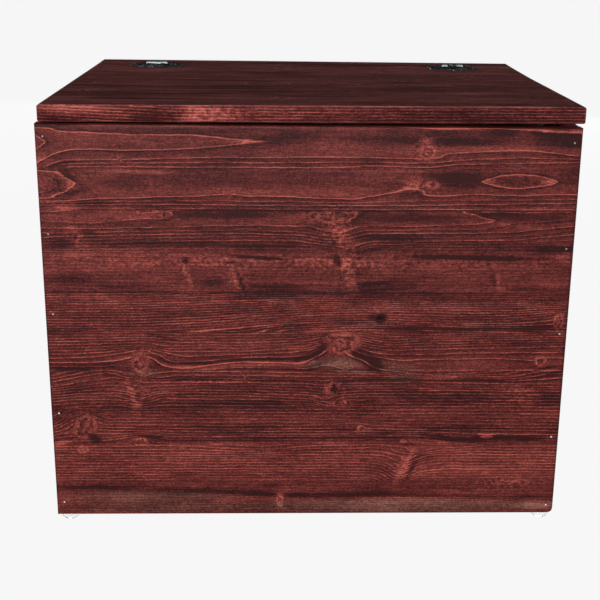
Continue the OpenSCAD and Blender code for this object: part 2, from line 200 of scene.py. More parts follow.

# The front's figure, its places chosen from the photograph. Each line is one growth
# ring's edge: its number in the stave, then points (x from the middle, height from the board's
# lower edge).
front_rings = (
    (
        (0, (-256, 2), (0, 3), (256, 2)),
        (3, (-256, 11), (0, 12), (256, 10)),
        (6, (-256, 21), (-60, 19.5), (0, 18.5), (256, 17)),
        (8, (-256, 28), (-130, 26), (-60, 24), (0, 24), (100, 23), (256, 23)),
        (10, (-256, 34), (-100, 31), (0, 30), (90, 30), (256, 29.5)),
        (12, (-256, 39), (0, 37), (256, 36)),
    ),
    (
        (0, (-256, 39), (0, 39.5), (50, 38.5), (75, 35)),
        (2, (-256, 45), (0, 45.5), (50, 44.8), (70, 42.5), (83, 38)),
        (4, (-256, 51), (0, 51.5), (50, 51), (70, 49.5), (80, 46.5), (87, 41)),
        (6, (-256, 57.5), (0, 58), (45, 58), (65, 57.5), (80, 54), (90, 46)),
        (8, (-256, 63.5), (0, 64), (45, 64), (70, 63), (85, 59.5), (95, 52)),
        (10, (-256, 70), (-60, 68.5), (0, 70), (40, 70.5), (75, 70), (92, 66), (100, 60)),
        (12, (-256, 76), (-180, 76.5), (-165, 77.5), (-130, 77), (-110, 76), (-85, 74.3)),
        (12, (-60, 73), (-30, 73.5), (0, 76.5), (40, 77.5), (75, 77.5), (100, 74.5)),
        (0, (115, 37), (256, 38)),
        (2, (108, 41.5), (130, 44), (256, 44)),
        (4, (103, 43), (118, 48), (140, 50.5), (256, 50)),
        (6, (105, 50), (118, 54.5), (140, 57), (256, 56.5)),
        (8, (107, 57), (118, 61), (135, 63), (170, 63.5), (256, 62.5)),
        (10, (108, 64), (118, 67.5), (135, 69.5), (170, 70), (256, 69)),
        (12, (112, 70), (135, 74), (170, 76), (256, 76)),
    ),
    (
        (0, (-256, 78), (-180, 79), (-174, 84), (-163, 85.5), (-155, 81), (-140, 79.5), (145, 80)),
        (0, (175, 79.5), (256, 80)),
        (2, (-205, 86), (-180, 88), (-160, 90), (-140, 87), (0, 87), (100, 87.5), (122, 87)),
        (2, (140, 84), (158, 81.5), (180, 81), (256, 83.5)),
        (4, (-205, 94), (-110, 92.5), (0, 92.5), (60, 92.5), (120, 92), (180, 89.5), (256, 89)),
        (6, (-205, 100.5), (-100, 99), (0, 99), (48, 102), (62, 99), (130, 97.5), (256, 96.5)),
        (8, (-200, 107), (-100, 106.5), (0, 106), (120, 105), (256, 103.5)),
        (10, (-205, 114), (0, 113), (256, 111.5)),
        (12, (-256, 119), (0, 120), (256, 119)),
        (2, (-256, 84), (-243, 86.5)),
        (4, (-256, 91), (-240, 96), (-232, 102)),
        (6, (-256, 97), (-244, 102), (-236, 109)),
        (9, (-256, 106), (-246, 110), (-236, 115)),
    ),
    (
        (0, (-256, 118), (-215, 120), (-190, 121), (-176, 119)),
        (0, (-164, 119), (-145, 121), (-100, 121), (0, 120), (256, 119.5)),
        (2, (-256, 124.5), (-230, 127), (-200, 127.5), (-177, 126)),
        (2, (-163, 124), (-150, 127), (-130, 128), (-60, 127.5), (0, 125.5), (12, 123), (24, 121)),
        (2, (36, 126), (60, 127), (256, 126)),
        (4, (-256, 130.5), (-230, 133), (-200, 134), (-180, 133)),
        (4, (-165, 128.5), (-152, 132.5), (-135, 134.5), (-60, 134), (0, 132), (10, 130),
            (17, 127)),
        (4, (36, 132.5), (60, 133.5), (150, 133.5), (256, 132.5)),
        (6, (-256, 135.5), (-230, 139), (-205, 141.5), (-186, 142)),
        (6, (-165, 134), (-150, 138), (-110, 140.5), (-60, 139.5), (0, 138), (13, 136)),
        (6, (36, 139), (60, 140), (256, 139)),
        (8, (-256, 140.5), (-235, 144), (-215, 147.5), (-192, 150.5)),
        (8, (-165, 145), (-130, 146), (-60, 145.5), (0, 144), (13, 143)),
        (8, (36, 144.5), (110, 145.5), (256, 144)),
        (9, (-256, 145), (-240, 148), (-222, 152), (-200, 155.5)),
        (9, (-167, 149.5), (-150, 148.5), (-120, 149.7), (-65, 149.2), (0, 147.8), (12, 147.5)),
        (9, (36, 148.5), (80, 150), (110, 150), (190, 148.3), (205, 147), (230, 149), (256, 151)),
        (11, (-256, 152), (-235, 157)),
        (11, (-164, 151.5), (-152, 155), (-135, 156.8), (-60, 157), (0, 156), (30, 154.5),
            (60, 155)),
        (11, (90, 153), (110, 152), (200, 152), (215, 154.5), (230, 157), (243, 158.5)),
    ),
    (
        (0, (-256, 158), (-200, 158)),
        (1, (-130, 157), (-75, 161), (-50, 161.3), (0, 160.5), (10, 163)),
        (2, (-256, 166), (-215, 166.5), (-190, 168.5), (-180, 170.5)),
        (2, (-151, 170), (-146, 165.5), (-136, 162), (-125, 160.8), (-110, 162), (-95, 164)),
        (2, (-80, 166), (-60, 167), (-40, 167), (-20, 166), (-5, 166.5), (4, 171), (14, 176.5)),
        (3, (-256, 171), (-215, 171.7), (-190, 175), (-172, 178.5), (-160, 180), (-150, 175)),
        (3, (-140, 169.5), (-125, 167), (-95, 169), (-60, 172), (-20, 172.5), (0, 175), (12, 182)),
        (5, (-256, 178), (-200, 180), (-165, 183), (-140, 179.5), (-120, 178), (-60, 179),
            (0, 182)),
        (8, (-256, 188), (-200, 189), (-165, 190.5), (-130, 188), (-60, 187.5), (0, 190),
            (12, 193)),
        (11, (-256, 197), (-165, 198), (-130, 196), (-60, 196.5), (10, 198)),
        (11, (54, 201), (62, 198.5), (78, 197), (100, 196.5), (125, 196.5), (180, 198),
            (256, 200)),
        (9, (52, 195), (62, 192.5), (78, 191), (120, 192), (256, 195)),
        (7, (54, 190), (66, 187), (82, 185.8), (120, 187), (256, 190)),
        (5, (56, 184), (70, 181), (90, 180), (150, 181.5), (256, 184)),
        (4, (56, 180), (65, 177.3), (80, 175.5), (110, 175.5), (160, 177), (256, 178)),
        (3, (52, 176.5), (64, 173.5), (80, 170.8), (95, 169), (110, 170), (150, 171),
            (180, 171.5)),
        (3, (205, 170.5), (225, 169.5), (240, 172), (256, 172)),
        (2.2, (80, 160), (250, 160)),
    ),
    (
        (0, (-256, 198), (-150, 197), (-118, 198.5), (-100, 200), (-85, 201.5), (-60, 203.5)),
        (0, (-20, 207), (0, 208.5), (60, 210), (120, 208.5), (190, 208), (225, 210), (256, 214)),
        (-2, (-52, 197.5), (-35, 202), (-20, 203.5), (0, 204.5), (60, 206), (100, 205),
            (256, 203)),
        (4, (-256, 208), (-160, 208.5), (-100, 211), (-60, 214.5), (0, 218.5), (60, 220),
            (150, 219)),
        (4, (210, 219.5), (256, 223)),
        (8, (-256, 219), (-160, 220), (-100, 222), (0, 227), (100, 228.5), (256, 229.5)),
        (12, (-256, 229), (-160, 230), (-60, 233.5), (60, 235.5), (256, 236)),
        (15, (-256, 236.5), (-160, 237.5), (-60, 240), (256, 242)),
    ),
    (
        (0, (-256, 240.5), (-60, 240.5), (120, 240.5), (256, 241)),
        (2, (-256, 247), (-130, 246), (-60, 245.5), (45, 244), (60, 243.5), (95, 245),
            (256, 244.5)),
        (4, (-256, 254), (-130, 253.5), (-108, 252), (-78, 253), (-55, 254), (30, 253), (50, 250)),
        (4, (75, 251.5), (120, 252), (180, 253), (256, 253.5)),
        (7, (-256, 263.5), (-125, 263), (-70, 262), (60, 262), (190, 263), (256, 264.5)),
        (9, (-256, 271), (-120, 270), (0, 271), (256, 270)),
        (11, (-256, 279), (0, 280.5), (256, 280.5)),
    ),
    (
        (0, (-256, 281), (-100, 283), (0, 283), (45, 281), (60, 285), (100, 286), (256, 288)),
        (2, (-256, 287), (-205, 288), (-120, 290.5), (-20, 291.5), (10, 288), (40, 283)),
        (2, (43, 286), (55, 290), (80, 291), (120, 291.5), (200, 293), (256, 299)),
        (4, (-256, 293), (-205, 295), (-120, 297), (-60, 298), (-10, 296.5), (15, 293)),
        (4, (40, 294.5), (55, 298.3), (80, 299), (160, 299.5), (200, 301), (230, 304.5),
            (256, 307)),
        (6, (-205, 302), (-140, 304), (-60, 306), (0, 305), (10, 302)),
        (6, (32, 300), (40, 303.5), (48, 305.3), (60, 306), (90, 305.7), (120, 306.7), (150, 308)),
        (6, (170, 309.8), (177.5, 311.7), (170, 313.7), (162, 316), (155, 318.3), (145, 320.3)),
        (6.6, (60, 314), (140, 314)),
        (5, (192, 309), (256, 314)),
        (7, (-200, 307.5), (-160, 311.7), (-135, 312.3), (-129.5, 315.5), (-137, 319.5),
            (-160, 320)),
        (6.4, (-118, 314), (-20, 315)),
        (7, (36, 309), (46, 317), (36, 320.5)),
    ),
    (
        (-2, (-256, 321.5), (0, 322), (256, 323)),
        (-1, (-235, 325), (-120, 326), (0, 325.5), (100, 326.5), (256, 329.5)),
        (1, (-228, 328.5), (-200, 331), (-160, 332.2), (-120, 333.7), (-90, 335), (-77, 336.7)),
        (1, (-62, 334.6), (-20, 334), (0, 333), (40, 332), (60, 335), (80, 339), (92, 342)),
        (1, (100, 342.3), (107, 338.5), (113, 335.7), (125, 335.7), (150, 337.5), (200, 336.2)),
        (1, (256, 338)),
        (2, (-256, 357.5), (-240, 356.5), (-232, 353.5), (-225, 349), (-220, 345), (-226, 340)),
        (2, (-235, 335.3), (-245, 331)),
        (3, (-256, 353), (-242, 350), (-236, 345), (-243, 339), (-256, 336)),
        (2, (162, 350), (172, 354), (185, 356.4), (198, 357), (212, 356.2), (225, 353.8),
            (234, 350.5)),
        (2, (225, 347), (212, 344.6), (198, 343.7), (182, 344.6), (170, 347), (162, 350)),
        (2.7, (182, 350.3), (215, 350.3)),
        (1.5, (-200, 345), (0, 347), (85, 350)),
        (1.6, (135, 345), (150, 352), (130, 358), (198, 361), (256, 357)),
        (1.5, (135, 341), (198, 340), (256, 344)),
        (1.8, (-195, 358), (0, 359)),
    ),
    (
        (-1, (140, 361.5), (256, 363)),
        (0, (-225, 361), (0, 362), (60, 364), (100, 363), (120, 364), (140, 366), (256, 369)),
        (2, (-250, 358), (-245, 362), (-235, 366), (-220, 367.5), (-180, 368.3), (-120, 370)),
        (2, (-60, 371), (0, 372), (60, 372), (98, 371), (118, 372), (125, 375), (140, 377)),
        (2, (160, 378), (180, 379), (200, 379.7), (220, 378.5), (240, 376), (256, 375)),
        (3, (-242, 397), (-235, 395), (-225, 394), (-200, 393.3), (-160, 392), (-130, 391.6)),
        (3, (-110, 392), (-80, 389.5), (-65, 388), (-40, 387), (-60, 384.5), (-80, 382)),
        (3, (-110, 379.5), (-140, 378), (-175, 377), (-200, 378), (-215, 377.5), (-228, 376)),
        (3, (-240, 372), (-248, 368)),
        (3.6, (-230, 386), (-100, 386)),
        (4, (-253, 390.5), (-245, 385), (-252, 379)),
        (2.2, (-256, 401), (-100, 400), (0, 397), (60, 393)),
        (2.6, (0, 382), (60, 384), (90, 388)),
        (2.7, (135, 390), (180, 388), (256, 387)),
        (2.9, (105, 399.5), (120, 396), (140, 395.5), (155, 397.5), (166, 401)),
    ),
)
# How strongly unmarked rings show in each stave, how light each stave is (adjusted until its mean
# tone was near the photograph's), and the strength of the rings that stand out.
front_fill = (0.35, 0.95, 0.95, 1.15, 1.0, 1.0, 0.3, 0.6, 0.45, 0.35)
front_shade = (0.2, 0.4, 0.07, 0.03, -0.02, 0.0, 0.2, 0.02, 0.04, 0.0)
front_strong = {
    (1, 12): 0.9, (2, 2): 0.7, (2, 4): 1.1, (3, 9): 1.0, (3, 11): 0.9, (4, 2): 1.7, (4, 3): 1.0,
    (4, 4): 1.0, (4, 5): 0.8, (4, 7): 0.75, (4, 9): 0.75, (5, 0): 1.3, (5, -2): 1.2, (7, 2): 1.0,
    (7, 4): 1.1, (7, 6): 1.0, (7, 7): 0.7, (8, -2): 0.9, (8, -1): 1.0, (8, 0): 0.6, (8, 1): 1.3,
    (8, 2): 1.5, (8, 3): 0.6, (9, 0): 1.1, (9, 1): 0.9, (9, 2): 1.1, (9, 3): 1.4, (9, 4): 1.0,
}
# Knots: x, height, half length, half height, and how dark the heart of each one is.
front_knots = (
    (109, 377, 8, 8, 0.2), (110.5, 376, 1.8, 1.8, 1.2), (-178, 368, 2.5, 3, 0.2),
    (-76, 336, 2.5, 1.8, 0.8), (115, 347, 7, 4.5, 0.3), (-138, 316, 3.4, 2.8, 0.4),
    (3, 316, 4.5, 4.5, 0.2), (17, 315, 9, 6.5, 0.0), (31, 316, 6, 4, 0.0), (202, 318, 3, 3, 0.0),
    (-17, 231, 2.2, 2, 0.4), (70, 213.5, 6.4, 6, 3.0), (-212, 206, 2.2, 2, 2.2),
    (246, 210, 6, 8, 0.0), (-165, 166, 9, 9, 0.0), (32, 188, 17, 12, 0.0), (231, 169, 6, 6, 0.3),
    (-62, 150, 3, 3, 0.3), (25, 139, 7, 8, 0.9), (-222, 98, 12, 14, 0.0), (-225, 73, 6, 5, 0.0),
    (-168, 81, 8, 4.5, 0.0), (54, 96, 4, 4, 0.3), (96, 82, 3, 2.5, 0.2), (-28, 17, 4, 9, 0.0),
)
# Light and dark places: x, height, half length, half height, turn in degrees, tone. The dark lines
# down the right and left edges are painted shade, and the long pale lines along the top edge a
# painted highlight.
front_marks = (
    (108, 388, 7, 2.4, 0, 1.9), (109, 377, 9, 8, 0, 0.45), (114, 347, 8, 5, 0, 0.5),
    (135, 387, 40, 4.5, 0, -0.8), (180, 397, 12, 4, 0, -0.9), (132, 400, 28, 3.5, 0, 0.9),
    (235, 392, 26, 9, 0, -0.6), (248, 388, 10, 5, 0, -0.8), (180, 381, 60, 3.5, 0, 0.6),
    (60, 389, 45, 4, 0, -0.6), (-20, 391, 26, 4, 0, -0.7), (-60, 397, 150, 3, 0, -0.5),
    (-170, 386, 50, 6, 0, 0.25), (-60, 386.5, 20, 2, 0, 0.5), (-250, 366, 10, 5, 0, 0.6),
    (-232, 363.5, 12, 1.6, 12, -0.9), (-225, 353, 9, 2.6, -38, -1.0),
    (-222, 336, 12, 2.2, 22, -0.8), (-238, 345, 7, 5, 0, -0.5), (-223, 345, 5, 5, 0, 0.7),
    (-165, 357.3, 40, 1.6, -1, 1.0), (60, 359, 90, 1.6, 0, 0.5), (-60, 348, 160, 6, 0, -0.4),
    (20, 357, 90, 3, 0, -0.4), (134, 354.5, 38, 6, 0, -1.1), (145, 347, 18, 6, 0, -0.6),
    (247, 352, 10, 10, 0, -0.4), (198, 350, 28, 3.5, 0, -0.5), (169, 350.3, 7, 2.4, 0, 0.9),
    (226, 350.3, 8, 2.6, 0, 0.9), (0, 321, 256, 1.2, 0, -0.8), (0, 238.8, 256, 1.2, 0, -0.9),
    (38, 159, 38, 1.2, 0, -1.0), (97, 347, 10, 7, 20, 0.8), (86, 341, 14, 2.5, 18, 0.6),
    (96, 337, 10, 3, 0, -0.15), (-232, 322, 10, 3.5, 0, 0.9), (-183, 322, 6, 8, 90, 0.3),
    (-215, 326.5, 30, 1.8, 0, -0.7), (-160, 314, 26, 3, 4, 0.4), (-90, 316, 44, 3.2, 0, -0.9),
    (-55, 316, 22, 3, 0, -0.7), (27, 318, 3, 3, 0, -1.0), (100, 314, 60, 5, 0, -0.8),
    (185, 318, 20, 2.5, 0, -0.5), (215, 315, 44, 5, 0, -0.8), (205, 307, 8, 3, 0, 0.5),
    (30, 297, 15, 7, -55, 0.7), (30, 305, 14, 5, 0, 0.3), (-222, 294, 12, 3, -64, 0.9),
    (-222, 294, 7, 0.9, -64, -1.2), (-238, 287, 9, 5, 0, -0.9), (-207, 297, 9, 5, -50, -0.5),
    (-140, 288, 70, 2.5, 0, -0.8), (-60, 286, 40, 2, 0, -0.6), (80, 295, 40, 3, 0, -0.9),
    (60, 283, 16, 1.6, 10, -0.7), (60, 207, 60, 3, 0, -0.5), (235, 284, 24, 4, 0, -1.0),
    (160, 289, 60, 2.5, 0, -0.4), (0, 271, 256, 8, 0, 0.05), (-228, 275, 22, 2.5, 0, 0.1),
    (245, 276, 8, 4, 0, 0.5), (-51, 274.5, 24, 1.5, -3.5, -2.6), (-75, 269, 6, 1.5, 0, -1.4),
    (155, 275.2, 55, 2.0, -1, -2.4), (-119, 271, 2.4, 3, 0, -2.0), (26, 272, 5, 3, -60, -1.6),
    (-117, 255, 14, 2.4, -68, 0.8), (-70, 254, 15, 5.5, -66, 0.6), (-66, 249, 11, 1.6, -67, -2.2),
    (-94, 249, 14, 5, 0, -0.7), (38, 256, 20, 6, -70, 0.7), (62, 248.5, 16, 2.8, 4, -1.2),
    (75, 243, 22, 1.6, 2, -1.1), (183, 252, 11, 1.6, -80, 0.8), (179, 252, 6, 1.4, -80, -1.0),
    (188, 243, 6, 2, -20, 0.7), (-30, 245.5, 32, 1.6, 0, -1.2), (-30, 241.5, 36, 1.4, 0, -0.8),
    (222, 243.5, 30, 1.8, 0, -0.8), (-232, 253, 22, 6, 0, -0.5), (-185, 244, 20, 2, 0, -0.5),
    (150, 234, 120, 3, 0, -0.5), (-60, 234, 60, 2.5, 3, -0.5), (-130, 228, 120, 10, 0, 0.35),
    (130, 222, 110, 8, 0, 0.2), (243, 214, 7, 3, 25, 0.5), (70, 213.5, 5.4, 4.2, 20, -3.0),
    (61.5, 214.5, 4.5, 3.2, 0, -0.9), (-55, 201, 34, 1.8, 4, -1.0), (-20, 205, 26, 1.4, 5, -0.8),
    (-102, 199.7, 18, 1.2, 4, 1.2), (-44, 200.5, 9, 1.0, 22, 1.0), (88, 203, 26, 1.8, 0, -1.2),
    (222, 203.5, 20, 3, 3, -1.3), (155, 202.5, 80, 1.5, 0.5, -1.4), (6, 200, 9, 1.0, 5, 1.0),
    (-143, 193, 16, 1.4, -14, -0.9), (-70, 182, 90, 9, 0, 0.3), (-165, 177, 11, 1.8, 0, 0.3),
    (-165, 164, 9, 7, 0, 0.2), (-230, 160.5, 20, 2.4, 0, -1.0), (-195, 164, 12, 3, 0, -0.6),
    (-110, 166, 30, 1.2, -4, -1.2), (-45, 170.2, 52, 1.5, 1, -0.7),
    (-127, 161.7, 16, 2.4, -4, 0.9), (-95, 162.6, 26, 2.6, 4, 0.9), (-48, 164.8, 34, 2.2, 1, 0.9),
    (-8, 165.3, 18, 2.2, 6, 0.7), (-5, 172, 16, 2.4, 25, -0.9), (-40, 161, 36, 1.4, 0, -0.8),
    (15, 187, 6, 10, 0, -0.5), (8, 178, 14, 3.5, 38, -1.2), (33, 190, 15, 10, 0, 0.25),
    (8, 164, 12, 3, 20, -0.7), (63, 167, 15, 6.5, -36, -1.6), (47, 175, 5, 2.5, -50, -1.4),
    (30, 166, 21, 6, 0, 0.3), (160, 165, 70, 5, 0, 0.25), (231, 171, 8, 5, 0, 0.2),
    (225, 158.5, 18, 1.0, 0, 0.9), (238, 161.5, 14, 1.2, 12, -1.2), (248, 156, 12, 2.4, 10, -0.8),
    (-172, 142, 12, 2, 90, -0.3), (-175, 133, 13, 2.4, -72, 0.9), (-169, 121, 4, 3, 0, 1.1),
    (-228, 137, 26, 5, 8, -0.5), (-120, 149.2, 50, 1.3, 0, -1.3), (-30, 148.3, 36, 1.3, -1, -1.1),
    (-98, 146.3, 38, 1.0, 0, 0.8), (-110, 133, 60, 1.6, 2, -0.6), (-60, 124, 60, 3, 0, -0.6),
    (60, 149, 34, 1.4, 1, -0.9), (160, 148.5, 50, 1.6, 0, -1.2), (95, 148, 20, 3, 0, -0.8),
    (27, 138, 4, 6, 0, -1.2), (18, 138, 2, 8, 10, 0.8), (34, 133, 1.4, 13, 0, 0.6),
    (60, 140, 30, 3, 0, 0.4), (140, 138, 60, 2.4, 0, 0.4), (212, 136, 12, 12, 0, 0.2),
    (245, 126, 16, 8, 0, -0.7), (150, 126, 50, 6, 0, -0.4), (60, 124, 20, 4, 0, -0.5),
    (-222, 99, 18, 12, 50, -0.1), (-246, 80, 12, 2.4, 10, 1.1), (-214, 85, 8, 4, -40, -1.5),
    (-195, 85, 16, 2, 0, 0.3), (-168, 84, 8, 2.4, 0, 0.7), (-158, 87, 14, 1.2, -6, -1.3),
    (-60, 84.5, 120, 2.0, 1, -0.8), (-100, 97, 90, 2.5, 0, -0.5), (-90, 90, 30, 2, 0, -0.4),
    (60, 85, 60, 2, 0, -0.7), (30, 95, 24, 3, 0, -0.6), (72, 91.5, 16, 2.2, 0, -0.9),
    (150, 96, 50, 3, 0, -0.8), (138, 86, 22, 1.4, -10, -1.2), (158, 83.3, 24, 2.2, -3, -2.2),
    (212, 84.5, 40, 2.6, 0, -1.1), (110, 82, 16, 1.4, 0, 0.9), (136, 80.4, 10, 0.9, 0, 1.2),
    (52, 97, 2, 6, 0, 0.8), (99, 55, 19, 3.0, 66, 0.8), (94, 43, 7, 4, 60, 0.1),
    (107, 52, 14, 2.4, 68, -1.0), (70, 49, 16, 6, 0, -0.5), (205, 36, 28, 4, 0, 0.5),
    (180, 50, 70, 20, 0, 0.2), (-220, 31, 36, 2.0, 0, -0.8), (-130, 28.5, 90, 3.5, -1, -0.25),
    (-85, 25, 50, 3.2, -3, -0.8), (-48, 22.8, 15, 1.8, 0, -1.8), (-10, 22, 11, 2.4, 0, -1.6),
    (50, 22, 60, 2.8, 1, -1.2), (130, 20.5, 45, 1.6, 0, -0.9), (215, 19, 55, 2.2, 0, -0.6),
    (130, 30, 60, 2, 2, -0.2), (-37, 33, 10, 2, 0, -1.0), (-28, 18, 5, 10, 0, 0.3),
    (100, 11, 110, 6, 0, 0.5), (-200, 20, 60, 6, 0, 0.3), (-127, 8, 4, 4, 0, 0.5),
    # The last mark here is painted shade down the right edge.
    (236, 9, 22, 5, 0, 1.0), (-220, 9, 20, 4, 0, -0.3), (255.5, 230, 1.8, 190, 0, -3.0),
    # The first mark here is painted shade down the left edge; the long pale marks at height 400.6
    # here and below are a painted highlight along the top edge.
    (-255.5, 200, 1.6, 220, 0, -1.6), (-110, 400.6, 140, 0.9, 0, 0.6),
    (120, 400.6, 140, 0.9, 0, 0.3), (252, 399, 10, 3, 0, 0.7),
)
# Places with a blotchy surface, in the same way, with an amount.
front_blotches = (
    (0, 271, 262, 9, 0, 0.65), (-222, 97, 22, 14, 50, 0.45), (32, 188, 20, 12, 0, 0.6),
    (24, 303, 20, 16, -40, 0.9), (36, 262, 16, 22, 20, 0.8), (108, 382, 14, 10, 0, 0.7),
    (198, 350, 40, 8, 0, 0.35), (100, 346, 14, 9, 0, 0.9), (-235, 343, 22, 18, 0, 0.55),
    (205, 35, 30, 6, 0, 0.9), (100, 55, 18, 5, 65, 0.6), (24, 139, 12, 10, 0, 0.6),
    (-165, 168, 16, 12, 0, 0.4), (-172, 137, 12, 18, 0, 0.6), (-222, 294, 14, 7, -60, 0.7),
    (14, 316, 24, 6, 0, 0.6), (-117, 255, 15, 6, -66, 0.6), (-66, 251, 15, 9, -66, 0.8),
    (245, 212, 9, 9, 0, 0.4), (210, 138, 18, 14, 0, 0.5), (-90, 147, 60, 2, 0, 0.8),
    (0, 8, 256, 8, 0, 0.25),
)
# Places where the stain took badly over resin and glue, and the wood looks grey-brown, apart from
# the line at height 400.6, which is a painted highlight along the top edge.
front_greys = (
    (90, 9, 150, 8, 0, 1.2), (-160, 21, 100, 6, 0, 0.9), (-160, 8, 100, 7, 0, 0.75),
    (235, 9, 26, 6, 0, 0.5), (32, 166, 24, 7, 0, 1.1), (8, 165, 16, 4, 12, 0.8),
    (90, 163, 24, 7, -8, 0.7), (60, 157, 50, 3, 0, 0.5), (92, 149, 24, 4, 0, 0.9),
    (212, 134, 16, 12, 0, 0.2), (-172, 141, 14, 2.6, 90, 0.5), (-160, 155.5, 20, 2.4, 2, 1.0),
    # The grey line at height 400.6 on this line is a painted highlight along the top edge.
    (-215, 82, 8, 4, -40, 0.5), (100, 192, 90, 5, 0, 0.25), (-110, 400.6, 140, 1.0, 0, 0.9),
    (-60, 194, 120, 4, 0, 0.3),
)


def traced_stave(lines, dip=0.3):
    """Ring number anywhere on a stave, run smoothly through the traced ring edges."""
    spots, rings = [], []
    for ring, *points in lines:
        for (x0, v0), (x1, v1) in zip(points, points[1:]):
            steps = max(1, round(math.hypot(x1 - x0, grain_run * (v1 - v0)) / trace_step))
            for step in range(steps):
                part = step / steps
                spots.append((x0 + (x1 - x0) * part, v0 + (v1 - v0) * part))
                rings.append(ring)
        spots.append(points[-1])
        rings.append(ring)
    spots = np.array(spots, float) * (1 / grain_run, 1)
    middle = spots[:, 1].mean()
    count = len(spots)
    apart = np.hypot(*(spots[:, None] - spots[None]).transpose(2, 0, 1))
    pull = np.zeros((count + 2, count + 2))
    pull[:count, :count] = np.hypot(apart, grain_soft)
    pull[:count, :count] -= grain_slack * np.eye(count)
    pull[:count, count] = pull[count, :count] = 1
    pull[:count, count + 1] = pull[count + 1, :count] = spots[:, 1] - middle
    shares = np.linalg.solve(pull, np.array(rings + [0, 0], float))

    def rings_at(x, v, depth):
        far = np.hypot(x[:, None] / grain_run - spots[:, 0], v[:, None] - spots[:, 1])
        flat = shares[count] + shares[count + 1] * (v - middle)
        return np.hypot(far, grain_soft) @ shares[:count] + flat + dip * depth

    return rings_at


def sawn_stave(rng, low, high, length):
    """Ring number on a stave sawn at random from a small log, and up to two knots in it."""
    heart = (low + high) / 2 + rng.choice((-90, -60, -40, -12, 0, 12, 40, 60, 90))
    deep = rng.uniform(16, 60)
    ring_width = rng.uniform(2.8, 4.6)
    waves = [
        (rng.uniform(0.6, 2.6), rng.uniform(2, 9), rng.uniform(0.4, 1.7), rng.uniform(0, 6.3))
        for _ in range(3)
    ]
    slope = rng.uniform(-0.02, 0.02)
    knots = []
    for _ in range(rng.choice((0, 0, 1, 1, 2))):
        size = rng.uniform(2.5, 8)
        x, v = rng.uniform(-0.46, 0.46) * length, rng.uniform(low + 6, high - 6)
        knots.append((x, v, size * rng.uniform(1, 1.3), size, rng.uniform(0.4, 1.1)))

    def rings_at(x, v, depth):
        for kx, kv, half_x, half_v, dark in knots:
            near = np.exp(-(((x - kx) / (3.2 * half_x)) ** 2) - ((v - kv) / (1.7 * half_v)) ** 2)
            v = kv + (v - kv) * (1 - 0.8 * near)
        line, below = heart + slope * x, deep + depth
        for sway, dive, number, start in waves:
            angle = x / length * full_turn * number + start
            line = line + sway * np.sin(angle)
            below = below + dive * np.cos(angle * 0.8)
        return np.hypot(v - line, below) / ring_width

    return rings_at, knots


def place_marks(marks, x, v):
    """The sum of soft oval marks at points on the board."""
    total = np.zeros(len(x))
    for mark_x, mark_v, half_long, half_short, turned, amount in marks:
        c, d = math.cos(math.radians(turned)), math.sin(math.radians(turned))
        near_x, near_v = x - mark_x, v - mark_v
        reach = ((c * near_x + d * near_v) / half_long) ** 2
        reach += ((c * near_v - d * near_x) / half_short) ** 2
        total += amount * np.exp(-(reach**1.4))
    return total


def read_mesh(mesh, group, field, size, kind=np.float32):
    """One field of a mesh's vertices, corners or faces as an array."""
    data = np.empty(len(group) * size, kind)
    group.foreach_get(field, data)
    return data.reshape(-1, size) if size > 1 else data


def board_mesh(name, length, width, thick, joints, pitch):
    """A board lying in its own sizes: x along the grain from the middle, y across, z inwards."""
    inner = length / 2 - ease
    columns = np.linspace(-inner, inner, max(2, round(2 * inner / pitch[0])) + 1)
    rows = [ease]
    for low, high in zip(joints, joints[1:]):
        low, high = max(low, ease), min(high, width - ease)
        steps = max(2, round((high - low) / pitch[1]))
        rows += np.linspace(low, high, steps + 1)[1:].tolist()
    bm = bmesh.new()
    for depth in (0, thick):
        made = bmesh.ops.create_grid(
            bm, x_segments=len(columns) - 1, y_segments=len(rows) - 1, size=1
        )
        for vert in made["verts"]:
            column = round((vert.co.x + 1) / 2 * (len(columns) - 1))
            row = round((vert.co.y + 1) / 2 * (len(rows) - 1))
            vert.co = (columns[column], rows[row], depth)
        if depth == 0:
            rim = [edge for edge in bm.edges if edge.is_boundary]
    corner = [(math.sin(a), 1 - math.cos(a)) for a in np.linspace(0, math.pi / 2, turns + 1)]
    profile = [(ease * out, ease * down) for out, down in corner]
    profile += [(out, thick - down) for out, down in reversed(profile)]
    for (out0, down0), (out1, down1) in zip(profile, profile[1:]):
        grown = bmesh.ops.extrude_edge_only(bm, edges=rim)["geom"]
        rim = [part for part in grown if isinstance(part, bmesh.types.BMEdge)]
        for vert in grown:
            if isinstance(vert, bmesh.types.BMVert):
                x, y, z = vert.co
                side_x = int(x > inner + out0 - 0.01) - int(x < -inner - out0 + 0.01)
                side_y = int(y > rows[-1] + out0 - 0.01) - int(y < rows[0] - out0 + 0.01)
                step = out1 - out0
                vert.co = (x + side_x * step, y + side_y * step, z + down1 - down0)
    bmesh.ops.remove_doubles(bm, verts=bm.verts, dist=0.02)
    bmesh.ops.recalc_face_normals(bm, faces=bm.faces)
    mesh = bpy.data.meshes.new(name)
    bm.to_mesh(mesh)
    bm.free()
    return mesh


